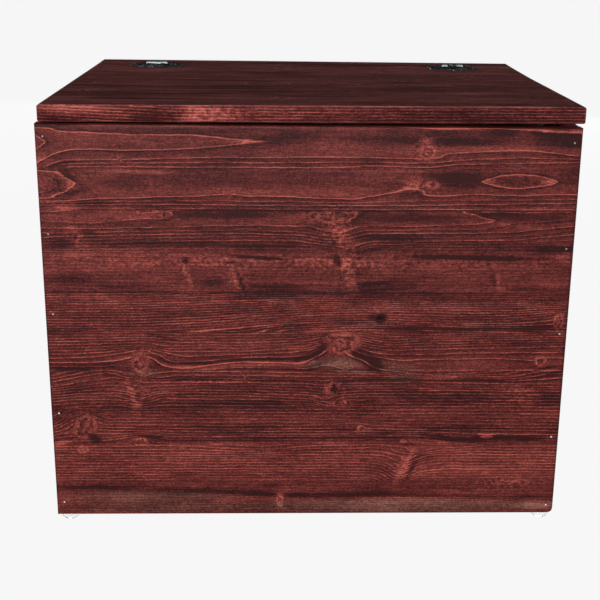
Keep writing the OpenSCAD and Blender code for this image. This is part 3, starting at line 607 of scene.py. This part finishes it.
def lay_grain(
    mesh, length, width, thick, joints, staves, knots=(), marks=(), blotches=(), greys=(), bare=0
):
    """Store the rings, tone, blotches, knots, edges and greys at the mesh's corners."""
    co = read_mesh(mesh, mesh.vertices, "co", 3).astype(float)
    corner_vert = read_mesh(mesh, mesh.loops, "vertex_index", 1, np.int32)
    centre = read_mesh(mesh, mesh.polygons, "center", 3)
    normal = np.abs(read_mesh(mesh, mesh.polygons, "normal", 3))
    sides = read_mesh(mesh, mesh.polygons, "loop_total", 1, np.int32)
    face = np.repeat(np.arange(len(sides)), sides)
    owner = np.clip(np.searchsorted(joints, centre[:, 1]) - 1, 0, len(joints) - 2)
    grain = np.zeros((len(corner_vert), 3), np.float32)
    for number, (rings_at, strong, seed, fill, _) in enumerate(staves):
        mine = np.flatnonzero(owner[face] == number)
        verts, back = np.unique(corner_vert[mine], return_inverse=True)
        x, v, depth = co[verts].T
        here = rings_at(x, v, depth)
        slope = [rings_at(*(co[verts] + step).T) - here for step in np.eye(3) * nudge]
        slope = (np.stack(slope) / nudge).T[back]
        n = normal[face[mine]]
        lying = (slope**2).sum(1) - (slope * n).sum(1) ** 2
        rng = np.random.default_rng(seed)
        strength = fill * rng.uniform(0.45, 1.0, 2 * ring_span)
        for ring, amount in strong.items():
            strength[ring + ring_span] = amount
        known = np.arange(-ring_span, ring_span)
        grain[mine, 0] = here[back] + rings_apart * number
        grain[mine, 1] = 1 / np.sqrt(np.clip(lying, 0.0025, 4))
        grain[mine, 2] = np.interp(np.clip(here, known[1], known[-2]), known, strength)[back]
    # The face's marks run on over its long edges and its ends, as if folded round them.
    x, v, depth = co.T
    fold = ease * 0.6
    ends = np.sign(x) * (np.abs(x) > length / 2 - fold)
    unrolled = x + depth * ends, v - depth * (v < fold) + depth * (v > width - fold)
    shown = depth < thick - ease * 0.5
    tone, blotch, grey = (
        place_marks(places, *unrolled) * shown for places in (marks, blotches, greys)
    )
    knot = np.full(len(x), 9.0)
    pit = np.zeros(len(x))
    for kx, kv, half_x, half_v, dark in knots:
        reach = np.hypot((x - kx) / half_x, (v - kv) / half_v)
        pit = np.where(reach < knot, dark, pit)
        knot = np.minimum(knot, reach)
    wood = np.stack([tone, blotch, knot], 1)[corner_vert]
    wood[:, 0] += np.array([stave[-1] for stave in staves])[owner[face]]
    to_edge = np.minimum(length / 2 - np.abs(x), np.minimum(v, width - v))
    # How near each place is to an edge, where it is paler from rubbed wear and from a painted
    # highlight.
    worn_and_highlit = np.clip(1 - np.maximum(to_edge, np.minimum(depth, thick - depth)) / rub_and_highlight_width, 0, 1)
    end = normal[:, 0] ** 2
    inside = (normal[:, 2] > 0.9) & (centre[:, 2] > thick * 0.9)
    inner_face = bare * inside[face] * (to_edge > 2 * ease)[corner_vert]
    # The heart layer's last column marks the broad faces, where a painted sheen may grey the
    # colour.
    for title, columns in (
        ("grain", grain),
        ("wood", wood),
        ("edge", np.stack([end[face], inner_face, worn_and_highlit[corner_vert]], 1)),
        ("heart", np.stack([pit[corner_vert], grey[corner_vert], normal[face, 2] ** 2], 1)),
    ):
        layer = mesh.attributes.new(title, "FLOAT_VECTOR", "CORNER")
        layer.data.foreach_set("vector", columns.astype(np.float32).ravel())


def srgb(red, green, blue):
    """A picture colour, 0 to 255, as the linear colour that shaders take."""
    parts = [c / 255 for c in (red, green, blue)]
    return tuple(c / 12.92 if c < 0.04045 else ((c + 0.055) / 1.055) ** 2.4 for c in parts) + (1,)


def ramp(tree, factor, stops):
    """A colour ramp with its stops given as (place, colour)."""
    node = put(tree, "ShaderNodeValToRGB", {"Fac": factor})
    points = node.color_ramp.elements
    while len(points) < len(stops):
        points.new(0.5)
    for point, (place, colour) in zip(points, stops):
        point.position = place
        point.color = colour
    return node.outputs["Color"]


def maths(tree, operation, *values):
    """One Math node's output."""
    node = put(tree, "ShaderNodeMath", operation=operation)
    for socket, value in zip(node.inputs, values):
        if isinstance(value, bpy.types.NodeSocket):
            tree.links.new(value, socket)
        else:
            socket.default_value = value
    return node.outputs[0]


def fade(tree, value, start, stop, low=0.0, high=1.0):
    """Map a value smoothly from start..stop to low..high."""
    feeds = {"Value": value, "From Min": start, "From Max": stop, "To Min": low, "To Max": high}
    node = put(tree, "ShaderNodeMapRange", feeds, interpolation_type="SMOOTHSTEP")
    return node.outputs["Result"]


def streaks(tree, place, stretch, detail=2.0, rough=0.5, shift=0.0):
    """Noise around zero, stretched by so many millimetres along each axis."""
    spread = put(
        tree,
        "ShaderNodeMapping",
        {"Vector": place, "Location": (shift,) * 3, "Scale": tuple(1 / s for s in stretch)},
    )
    noise = put(
        tree,
        "ShaderNodeTexNoise",
        {"Vector": spread.outputs[0], "Scale": 1.0, "Detail": detail, "Roughness": rough},
    )
    return maths(tree, "SUBTRACT", noise.outputs["Fac"], 0.5)


def add_all(tree, *terms):
    """The sum of terms; a pair is a value and its weight."""
    total = None
    for term in terms:
        value, weight = term if isinstance(term, tuple) else (term, None)
        if total is None:
            total = value if weight is None else maths(tree, "MULTIPLY", value, weight)
        elif weight is None:
            total = maths(tree, "ADD", total, value)
        else:
            total = maths(tree, "MULTIPLY_ADD", value, weight, total)
    return total


def split(tree, vector):
    """A vector's three parts."""
    return put(tree, "ShaderNodeSeparateXYZ", {"Vector": vector}).outputs


def blend(tree, factor, first, second):
    """Two colours mixed by a factor."""
    feeds = {"Factor": factor, 6: first, 7: second}
    return put(tree, "ShaderNodeMix", feeds, data_type="RGBA").outputs[2]


def spot_mm(tree, turned=0.0):
    """Each place on an object in millimetres, turned about the vertical."""
    spot = put(tree, "ShaderNodeTexCoord").outputs["Object"]
    feeds = {"Vector": spot, "Rotation": (0, 0, turned), "Scale": (1 / MM,) * 3}
    return put(tree, "ShaderNodeMapping", feeds).outputs[0]


def add_skin(tree, out, feeds, height=None, strength=1.0):
    """Put a surface on a material, with the relief of a height in metres if one is given."""
    if height is not None:
        bump = {"Height": height, "Strength": strength, "Distance": 1.0}
        feeds["Normal"] = put(tree, "ShaderNodeBump", bump).outputs[0]
    skin = put(tree, "ShaderNodeBsdfPrincipled", feeds)
    tree.links.new(skin.outputs[0], out.inputs["Surface"])


def new_group(name, inputs, outputs):
    """An empty shader node group, its input node and its output node."""
    group = bpy.data.node_groups.new(name, "ShaderNodeTree")
    for title, kind in inputs:
        group.interface.new_socket(title, in_out="INPUT", socket_type=kind)
    for title, kind in outputs:
        group.interface.new_socket(title, in_out="OUTPUT", socket_type=kind)
    return group, group.nodes.new("NodeGroupInput"), group.nodes.new("NodeGroupOutput")


def softwood_group():
    """Figure of planed softwood: how light each place is, where it is charcoal, and its relief."""
    vectors = [(title, "NodeSocketVector") for title in ("Place", "Grain", "Wood", "Edge")]
    heart = ("Heart", "NodeSocketFloat")
    numbers = [(title, "NodeSocketFloat") for title in ("Shade", "Char", "Line", "Relief")]
    group, into, out = new_group("softwood_figure", (*vectors, heart), numbers)
    ring, gap, bold = split(group, into.outputs["Grain"])
    tone, blotch, knot = split(group, into.outputs["Wood"])
    end, _, worn_and_highlit = split(group, into.outputs["Edge"])

    def noise(stretch, *settings, shift=0.0):
        return streaks(group, into.outputs["Place"], stretch, *settings, shift=shift)

    def times(first, second):
        return maths(group, "MULTIPLY", first, second)

    def total(*terms):
        return add_all(group, *terms)

    # Ring edges: a pale line, broken here and there, and darker wood that fades away before it.
    sway = total((noise((26, 5, 5), 3), 1.9), (noise((7, 2, 2), 2, shift=31), 1.0))
    part = maths(group, "FRACT", maths(group, "ADD", ring, maths(group, "DIVIDE", sway, gap)))
    other = maths(group, "SUBTRACT", 1, part)
    near = times(maths(group, "MINIMUM", part, other), gap)
    broken = fade(group, noise((22, 3.5, 3.5), 2, shift=7), -0.14, 0.1)
    line_width = total((noise((40, 6, 6), shift=3), 1.1), (bold, 0.45), 0.42)
    thin = fade(group, near, 0.0, line_width, 1.0, 0.0)
    line = times(thin, times(bold, total((broken, 0.4), 0.6)))
    beyond = times(other, gap)
    shadow = times(maths(group, "EXPONENT", times(beyond, -0.7)), total((bold, 0.5), 0.5))
    early = times(maths(group, "EXPONENT", times(beyond, -0.22)), total((bold, 0.8), 0.2))

    fibre = noise((34, 1.5, 1.5), 4, 0.62)
    fine = noise((7, 0.42, 0.42), 2, shift=11)
    band = noise((150, 13, 13), 2, shift=17)
    speck = noise((1.6, 0.9, 0.9), 2, 0.6, shift=23)
    cloud = noise((60, 22, 22), 3, 0.6, shift=53)
    mottle = noise((4.5, 3.4, 3.4), 4, 0.72, shift=5)
    rough_part = times(mottle, total((blotch, 1.0), 0.22))
    flat = total(
        0.47,
        (line, 0.50),
        (shadow, -0.30),
        (early, -0.08),
        (fibre, 0.46),
        (fine, 0.50),
        (band, 0.34),
        (cloud, 0.42),
        (speck, 0.80),
        (rough_part, 1.5),
        (tone, 0.30),
    )

    # Knots: rings round a dark heart, and a pale line where the wood round it begins.
    uneven = total(knot, (mottle, 0.7), (noise((9, 9, 9), 2, shift=61), 1.1))
    inside_knot = fade(group, uneven, 0.8, 1.25, 1, 0)
    halo = fade(group, knot, 1.0, 1.7, 1, 0)
    spin_line = maths(group, "SINE", total((uneven, 11.0), (mottle, 5.0)))
    pit = fade(group, total(uneven, (mottle, 0.5)), 0.1, 0.6, 1, 0)
    off_rim = maths(group, "ABSOLUTE", maths(group, "SUBTRACT", uneven, 0.92))
    knotty = total(
        0.48,
        (spin_line, 0.13),
        (mottle, 1.2),
        (speck, 0.8),
        (times(pit, into.outputs["Heart"]), -0.6),
        (fade(group, off_rim, 0, 0.2, 1, 0), 0.20),
        (tone, 0.30),
    )
    mixed = put(
        group,
        "ShaderNodeMix",
        {"Factor": inside_knot, "A": total(flat, (halo, 0.03)), "B": knotty},
    ).outputs["Result"]

    # End grain is darker with open pores, and the edges are paler: rubbed wear and partly a
    # painted highlight.
    pores = times(noise((0.8, 0.8, 0.8), 2, shift=41), end)
    rubbed_and_highlit = times(worn_and_highlit, fade(group, mottle, -0.08, 0.2))
    plain = total(mixed, (end, -0.13), (pores, 0.8), (rubbed_and_highlit, 0.15))
    dark_side = total((tone, -0.55), (band, 0.6), (fibre, 0.3), -0.16)
    unlined = maths(group, "SUBTRACT", 1, times(line, 0.8))
    for title, value in (
        ("Shade", maths(group, "MULTIPLY_ADD", plain, 1.5, -0.25)),
        ("Char", times(fade(group, dark_side, 0.06, 0.55), unlined)),
        ("Line", line),
        ("Relief", total((line, 0.00006), (fine, 0.00005), (fibre, 0.00005))),
    ):
        group.links.new(value, out.inputs[title])
    return group


softwood = softwood_group()
stain_stops = (
    (0.0, srgb(42, 17, 18)),
    (0.22, srgb(70, 27, 26)),
    (0.48, srgb(96, 40, 37)),
    (0.70, srgb(122, 57, 51)),
    (0.90, srgb(147, 71, 62)),
    (1.0, srgb(176, 88, 76)),
)
bare_stops = (
    (0.0, srgb(238, 212, 180)),
    (0.35, srgb(233, 203, 169)),
    (0.55, srgb(223, 188, 150)),
    (0.8, srgb(199, 155, 113)),
    (1.0, srgb(162, 113, 78)),
)
starved_stops = (
    (0.0, srgb(46, 28, 26)),
    (0.5, srgb(92, 56, 50)),
    (1.0, srgb(140, 98, 84)),
)
charcoal = srgb(54, 21, 21)
soot = srgb(16, 3, 3)


def stained_wood(name, along="x", deepen=1.0, grey=0.0, rim=None, all_bare=False, sheen=0.08):
    """Stained and varnished softwood; inside faces stay bare, apart from stain over the rim."""
    finish, tree, out = new_finish(name)
    place = spot_mm(tree, {"x": 0, "y": -math.pi / 2}[along])
    feeds = {"Place": place}
    for title in ("grain", "wood", "edge", "heart"):
        layer = put(tree, "ShaderNodeAttribute", attribute_name=title)
        feeds[title.capitalize()] = layer.outputs["Vector"]
    feeds["Heart"], starving, painted_sheen_broad = split(tree, feeds["Heart"])
    figure = put(tree, "ShaderNodeGroup", feeds, node_tree=softwood).outputs
    shade = figure["Shade"]
    darkest = ramp(tree, fade(tree, shade, -2.6, -1.2), ((0, soot), (1, charcoal)))
    char = maths(tree, "MULTIPLY", figure["Char"], 0.7)
    burnt = blend(tree, char, ramp(tree, shade, stain_stops), darkest)
    starved = ramp(tree, shade, starved_stops)
    stained = blend(tree, fade(tree, starving, 0.15, 1.0, 0.0, 0.8), burnt, starved)
    # A painted varnish sheen: grey takes colour out everywhere, and much more on the board's broad
    # faces.
    full = add_all(tree, (painted_sheen_broad, -grey), 1 - grey / 3)
    tuned = {"Color": stained, "Saturation": full, "Value": deepen}
    tint = put(tree, "ShaderNodeHueSaturation", tuned).outputs[0]
    pale = ramp(tree, add_all(tree, (figure["Line"], 0.75), (shade, 0.45)), bare_stops)
    raw = split(tree, feeds["Edge"])[1]
    if rim is not None:
        uneven = streaks(tree, place, (26, 26, 26), 3, 0.4, shift=2)
        lap = add_all(tree, (uneven, 22.0), split(tree, place)[2])
        raw = maths(tree, "MULTIPLY", raw, fade(tree, lap, rim - 15, rim - 9, 1, 0))
    surface = {
        "Base Color": pale if all_bare else blend(tree, raw, tint, pale),
        "Roughness": add_all(tree, (shade, -0.10), (raw, 0.22), 0.50),
        "Specular IOR Level": sheen,
    }
    add_skin(tree, out, surface, figure["Relief"], 0.6)
    return finish


def fit_board(name, node, body, finish, basis, mesh):
    """Turn a finished board into its place and let it stand for its solid."""
    mesh.transform(basis)
    if basis.determinant() < 0:
        mesh.flip_normals()
    mesh.shade_smooth()
    mesh.materials.append(finish)
    board = bpy.data.objects.new(name, mesh)
    scene.collection.objects.link(board)
    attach(board, body)
    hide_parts(node)


def basis_at(origin, along, across, inward):
    """Board axes, in millimetres, to places in metres."""
    columns = [Vector(a) * MM for a in (along, across, inward)]
    turn = Matrix(columns).transposed().to_4x4()
    return Matrix.Translation(Vector(origin)) @ turn


def box_mm(node):
    """A solid's lowest and highest corners in metres, and its three sizes in millimetres."""
    low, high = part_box(node)
    return low, high, tuple((b - a) / MM for a, b in zip(low, high))


low, high, (length, thick, width) = box_mm("front_panel")
wall_top = high.z / MM
front_wood = stained_wood("front_wood", rim=wall_top)
mesh = board_mesh("front_board", length, width, thick, front_joints, (2.6, 1.8))
staves = []
for number, (lines, fill, shade) in enumerate(zip(front_rings, front_fill, front_shade)):
    strong = {ring: amount for (stave, ring), amount in front_strong.items() if stave == number}
    staves.append((traced_stave(lines), strong, 100 + number, fill, shade))
figure = (front_knots, front_marks, front_blotches, front_greys)
lay_grain(mesh, length, width, thick, front_joints, staves, *figure, bare=1)
# The bottom right corner, worn round.
co = read_mesh(mesh, mesh.vertices, "co", 3)
past = np.stack([co[:, 0] - length / 2 + corner_wear, corner_wear - co[:, 1]], 1)
reach = np.hypot(*past.T)
worn_off = (past > 0).all(1) & (reach > corner_wear)
shorten = (corner_wear / reach[worn_off])[:, None] - 1
co[worn_off, :2] += past[worn_off] * shorten * (1, -1)
mesh.vertices.foreach_set("co", co.ravel())
middle_x = (low.x + high.x) / 2
basis = basis_at((middle_x, low.y, low.z), (1, 0, 0), (0, 0, 1), (0, 1, 0))
fit_board("front_board", "front_panel", "carcass", front_wood, basis, mesh)

# ---------------------------------------------------------------------------------------------
# Back and side boards. The same glued boards, cut from other lengths, so their figure differs.
# The back covers the side boards' ends as the front does; the sides stand between the two.
side_wood = stained_wood("side_wood", along="y", rim=wall_top)
back_wood = stained_wood("back_wood", rim=wall_top)


def random_board(
    name,
    node,
    body,
    finish,
    origin,
    axes,
    sizes,
    pitch,
    seed,
    bare=0,
    spread=1,
    first=(),
    marks=(),
    blotches=(),
    greys=(),
    bend=None,
    lean=None,
):
    """A board of random staves about 42 mm wide, and what is given of its figure, in place."""
    length, width, thick = sizes
    rng = np.random.default_rng(seed)
    joints = [0]
    joint = rng.uniform(16, 40)
    while joint < width - 14:
        joints.append(joint)
        joint += rng.uniform(40.5, 43)
    joints.append(width)
    staves, knots = [], []
    for number, (lower, upper) in enumerate(zip(joints, joints[1:])):
        rings_at, found = sawn_stave(rng, lower, upper, length)
        if number == 0 and first:
            rings_at = traced_stave(first, dip=0.35)
        look = (rng.uniform(0.5, 1.4), rng.uniform(-0.5, 0.35) * spread)
        staves.append((rings_at, {}, seed * 50 + number, *look))
        knots += found
    marks, blotches = list(marks), list(blotches)
    for _ in range(int(width / 7)):
        mark = (
            rng.uniform(-0.5, 0.5) * length,
            rng.uniform(0, width),
            rng.uniform(12, 80),
            rng.uniform(1.5, 4),
            rng.uniform(-2, 2),
            rng.choice((-1.2, -0.8, -0.5, 0.4, 0.7)),
        )
        marks.append(mark)
    marks += [(0, joint, length, 1.6, 0, rng.uniform(-1, -0.3)) for joint in joints[1:-1]]
    for kx, kv, half_x, half_v, dark in knots:
        blotches.append((kx, kv, half_x * 3, half_v * 2, 0, 0.8))
    mesh = board_mesh(name, length, width, thick, joints, pitch)
    lay_grain(mesh, length, width, thick, joints, staves, knots, marks, blotches, greys, bare)
    basis = basis_at(origin, *axes)
    if bend is not None:
        bend(mesh)
    if lean is not None:
        basis = lean @ basis
    fit_board(name, node, body, finish, basis, mesh)


low, high, (length, thick, width) = box_mm("back_panel")
random_board(
    "back_board",
    "back_panel",
    "carcass",
    back_wood,
    (0, high.y, low.z),
    ((-1, 0, 0), (0, 0, 1), (0, -1, 0)),
    (length, width, thick),
    pitch=(4.0, 2.2),
    seed=21,
    bare=1,
)
for side, sign, seed in (("left", -1, 31), ("right", 1, 41)):
    low, high, (thick, length, width) = box_mm(f"{side}_side_panel")
    outer = low.x if sign < 0 else high.x
    random_board(
        f"{side}_side_board",
        f"{side}_side_panel",
        "carcass",
        side_wood,
        (outer, 0, low.z),
        ((0, sign, 0), (0, 0, 1), (-sign, 0, 0)),
        (length, width, thick),
        pitch=(3.6, 2.2),
        seed=seed,
        bare=1,
    )

# ---------------------------------------------------------------------------------------------
# Base board. The same board without stain, let in flush between the four walls and nailed
# through them, so that the kindling lies on bare wood.
base_wood = stained_wood("base_wood", all_bare=True)
face_up = ((1, 0, 0), (0, 1, 0), (0, 0, -1))
low, high, sizes = box_mm("base_panel")
random_board(
    "base_board",
    "base_panel",
    "carcass",
    base_wood,
    (0, low.y, high.z),
    face_up,
    sizes,
    pitch=(4.0, 2.6),
    seed=51,
)

# ---------------------------------------------------------------------------------------------
# Rear strip and lid. One board ripped in two: the strip is nailed down across the back, and the
# lid hangs on it. Both took the stain darker. The lid has warped a little, so that its right
# front corner stands higher, and it rests on the two bumpers.
# The lid's and strip's colour is greyed as a painted varnish sheen, most on their broad faces.
top_wood = stained_wood("top_wood", deepen=1.24, grey=0.1, sheen=0.006)
low, high, sizes = box_mm("rear_top_strip")
random_board(
    "rear_strip",
    "rear_top_strip",
    "carcass",
    top_wood,
    ((low.x + high.x) / 2, low.y, high.z),
    face_up,
    sizes,
    pitch=(3.0, 2.0),
    seed=61,
    spread=0.35,
)

# The lid as it would lie level, before it leans on the bumpers, and the axis of the hinges' pins.
lid_front, lid_back = -202.0, 141.0
hinge_y, hinge_z = 141.5, 429.0
lid_warp = 2.4
warp_start = 250.0
lid_top_z = 426.5
lid_thick = 16.0
lid_low, lid_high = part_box("lid_panel")
lid_length = (lid_high.x - lid_low.x) / MM
lid_lean = math.asin((lid_high.z / MM - lid_top_z) / (hinge_y - lid_front))


def warp_lid(mesh):
    """Lift the right front corner, starting clear of the hinges."""
    co = read_mesh(mesh, mesh.vertices, "co", 3)
    forward_part = np.clip((warp_start - co[:, 1]) / warp_start, 0, 1)
    co[:, 2] -= lid_warp * forward_part * (co[:, 0] / lid_length + 0.5)
    mesh.vertices.foreach_set("co", co.ravel())


pivot = Matrix.Translation((0, hinge_y * MM, hinge_z * MM))
lean = pivot @ Matrix.Rotation(-lid_lean, 4, "X") @ pivot.inverted()
random_board(
    "lid_board",
    "lid_panel",
    "lid",
    top_wood,
    ((lid_low.x + lid_high.x) / 2, lid_front * MM, lid_top_z * MM),
    face_up,
    (lid_length, lid_back - lid_front, lid_thick),
    pitch=(3.2, 2.2),
    seed=71,
    spread=0.35,
    bend=warp_lid,
    lean=lean,
    first=(
        (5, (-256, 0)),
        (4, (-190, 0)),
        (3, (-120, 0), (0, 0.5), (256, 0)),
        (8, (-256, 14)),
        (8, (-100, 18), (100, 18), (256, 17)),
        (13, (-256, 38), (256, 38)),
    ),
    marks=(
        (-96, -8, 26, 9, 0, 1.2),
        (-112, -8, 10, 8, 0, 0.6),
        (-215, -5, 45, 5, 0, 1.1),
        (-230, -12, 60, 3, 0, -0.8),
        (-150, -12, 26, 4, 0, -1.1),
        (150, -9, 110, 5, 0, -1.8),
        (150, -4, 110, 2, 0, -0.3),
        (0, -12, 60, 5, 0, -0.3),
        # These two pale lines along the top front edge paint the varnish's highlight on that edge.
        (110, 0.3, 150, 0.8, 0, 1.6),
        (-150, 0.5, 120, 0.8, 0, 0.6),
    ),
    blotches=((-92, -8, 34, 9, 0, 0.9),),
    # The first grey is the same painted highlight along the top front edge.
    greys=((110, 0.3, 150, 1.0, 0, 0.9), (150, -9, 100, 6, 0, 0.5)),
)

# ---------------------------------------------------------------------------------------------
# Brads. Bright steel wire, driven in with a gun, so that each head stands just proud, down both
# edges of the front and back, round the base and along the strip. Stain is smeared over the
# heads, a little at the bottom of the box and nearly all over near its top.
smeared_between = (15, 330)


def bright_metal(name, colour, rough, stain=0.2, metal=1.0, smear=None):
    """Bare steel with fine scratches and a little dulling, and stain smeared over it high up."""
    finish, tree, out = new_finish(name)
    place = spot_mm(tree)
    dull = streaks(tree, place, (1.2, 1.2, 1.2), 4, 0.6)
    scratch = streaks(tree, place, (2.5, 0.12, 0.12), 2)
    shade = fade(tree, add_all(tree, dull, (scratch, 0.5)), -0.25, 0.25)
    if smear:
        clean = fade(tree, split(tree, place)[2], *smear, 1, 0.1)
        shade = maths(tree, "MULTIPLY", fade(tree, dull, -0.4, 0.1), clean)
    darker = tuple(c * (1 - stain * 2) for c in colour[:3]) + (1,)
    surface = {
        "Base Color": ramp(tree, shade, ((0, darker), (1, colour))),
        "Metallic": metal,
        "Roughness": add_all(tree, (shade, -0.14), rough),
    }
    add_skin(tree, out, surface, maths(tree, "MULTIPLY", scratch, 0.00002))
    return finish


def refinish(node, finish):
    """Give a solid that stays on show its finish."""
    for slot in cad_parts[node].material_slots:
        slot.material = finish


brad_steel = bright_metal(
    "brad_steel", (0.96, 0.84, 0.79, 1), 0.6, stain=0.4, metal=0.35, smear=smeared_between
)
for node in ("front_panel_brads", "back_panel_brads", "base_brads", "rear_strip_brads"):
    refinish(node, brad_steel)

# ---------------------------------------------------------------------------------------------
# Hinges. Stamped butterfly hinges in dark lacquered steel, rubbed bright on the barrel and on the
# raised work; the left barrel is rubbed all along, the right one only at its two ends.
# The bright metal above a height and the bright flecks also paint the highlights on the barrels'
# tops and on the embossing, and the dark lacquer below paints the shade under the barrels.
lacquer = ((0, (0.002, 0.002, 0.002, 1)), (1, (0.014, 0.016, 0.018, 1)))
under_lacquer = (0.46, 0.53, 0.56, 1)


def lacquer_rubbed_highlit(name, bright_from, amount):
    """Dark lacquer over silvery metal, rubbed through from a height above the lid's top; the
    bright tops and flecks are partly painted highlight, the dark below partly painted shade.
    """
    finish, tree, out = new_finish(name)
    place = spot_mm(tree)
    blotch = streaks(tree, place, (2.4, 2.4, 2.4), 3, 0.6)
    fleck = streaks(tree, place, (0.5, 0.5, 0.5), 2, shift=9)
    lowest = lid_top_z + bright_from
    raised = fade(tree, split(tree, place)[2], lowest, lowest + 1.0)
    # The rubbed mask: bare metal above a height and in flecks, partly wear and partly painted
    # highlight on the barrel's top and the embossing.
    mask = add_all(tree, (raised, amount), (blotch, 7.0), (fleck, 1.2), -0.50)
    rubbed_and_highlit = fade(tree, mask, 0.15, 0.6)
    dark = ramp(tree, fade(tree, blotch, -0.2, 0.2), lacquer)
    surface = {
        "Base Color": blend(tree, rubbed_and_highlit, dark, under_lacquer),
        "Metallic": add_all(tree, (rubbed_and_highlit, 0.95), 0.05),
        "Roughness": add_all(tree, (rubbed_and_highlit, 0.08), (fleck, 0.3), 0.42),
        "Specular IOR Level": 0.1,
    }
    add_skin(tree, out, surface, maths(tree, "MULTIPLY", fleck, 0.00008))
    return finish


hinge_rubbed_highlit = lacquer_rubbed_highlit("hinge_rubbed_highlit", 2.1, 1.6)
hinge_dark = lacquer_rubbed_highlit("hinge_dark", 2.7, 0.4)
screw_dark = lacquer_rubbed_highlit("hinge_screw", 1.5, 0.5)
pin_steel = bright_metal("pin_steel", (0.36, 0.40, 0.42, 1), 0.45)
for node in ("left_hinge_fixed_leaf", "left_hinge_lid_leaf", "right_hinge_fixed_leaf"):
    refinish(node, hinge_rubbed_highlit)
refinish("right_hinge_lid_leaf", hinge_dark)
for side in ("left", "right"):
    refinish(f"{side}_hinge_pin", pin_steel)
    refinish(f"{side}_hinge_fixed_screws", screw_dark)
    refinish(f"{side}_hinge_lid_screws", screw_dark)

# ---------------------------------------------------------------------------------------------
# Feet and bumpers. Clear self-adhesive domes of soft polyurethane: four large ones under the
# walls' corners, and two small ones on the rim that the lid closes on.
clear_tint = ((0, (0.93, 0.94, 0.94, 1)), (1, (0.98, 0.99, 0.99, 1)))
clear_rubber, tree, out = new_finish("clear_rubber")
haze = streaks(tree, spot_mm(tree), (3, 3, 3), 3)
surface = {
    "Base Color": ramp(tree, fade(tree, haze, -0.2, 0.2), clear_tint),
    "Roughness": add_all(tree, (haze, 0.04), 0.03),
    "IOR": 1.18,
    "Transmission Weight": 0.95,
}
add_skin(tree, out, surface)
for corner in ("front_left", "front_right", "back_left", "back_right"):
    refinish(f"{corner}_foot", clear_rubber)
for side in ("left", "right"):
    refinish(f"{side}_lid_bumper", clear_rubber)

sizes = {
    "cad": [list(corner) for corner in cad_box],
    "visual": [list(corner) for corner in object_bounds()],
}
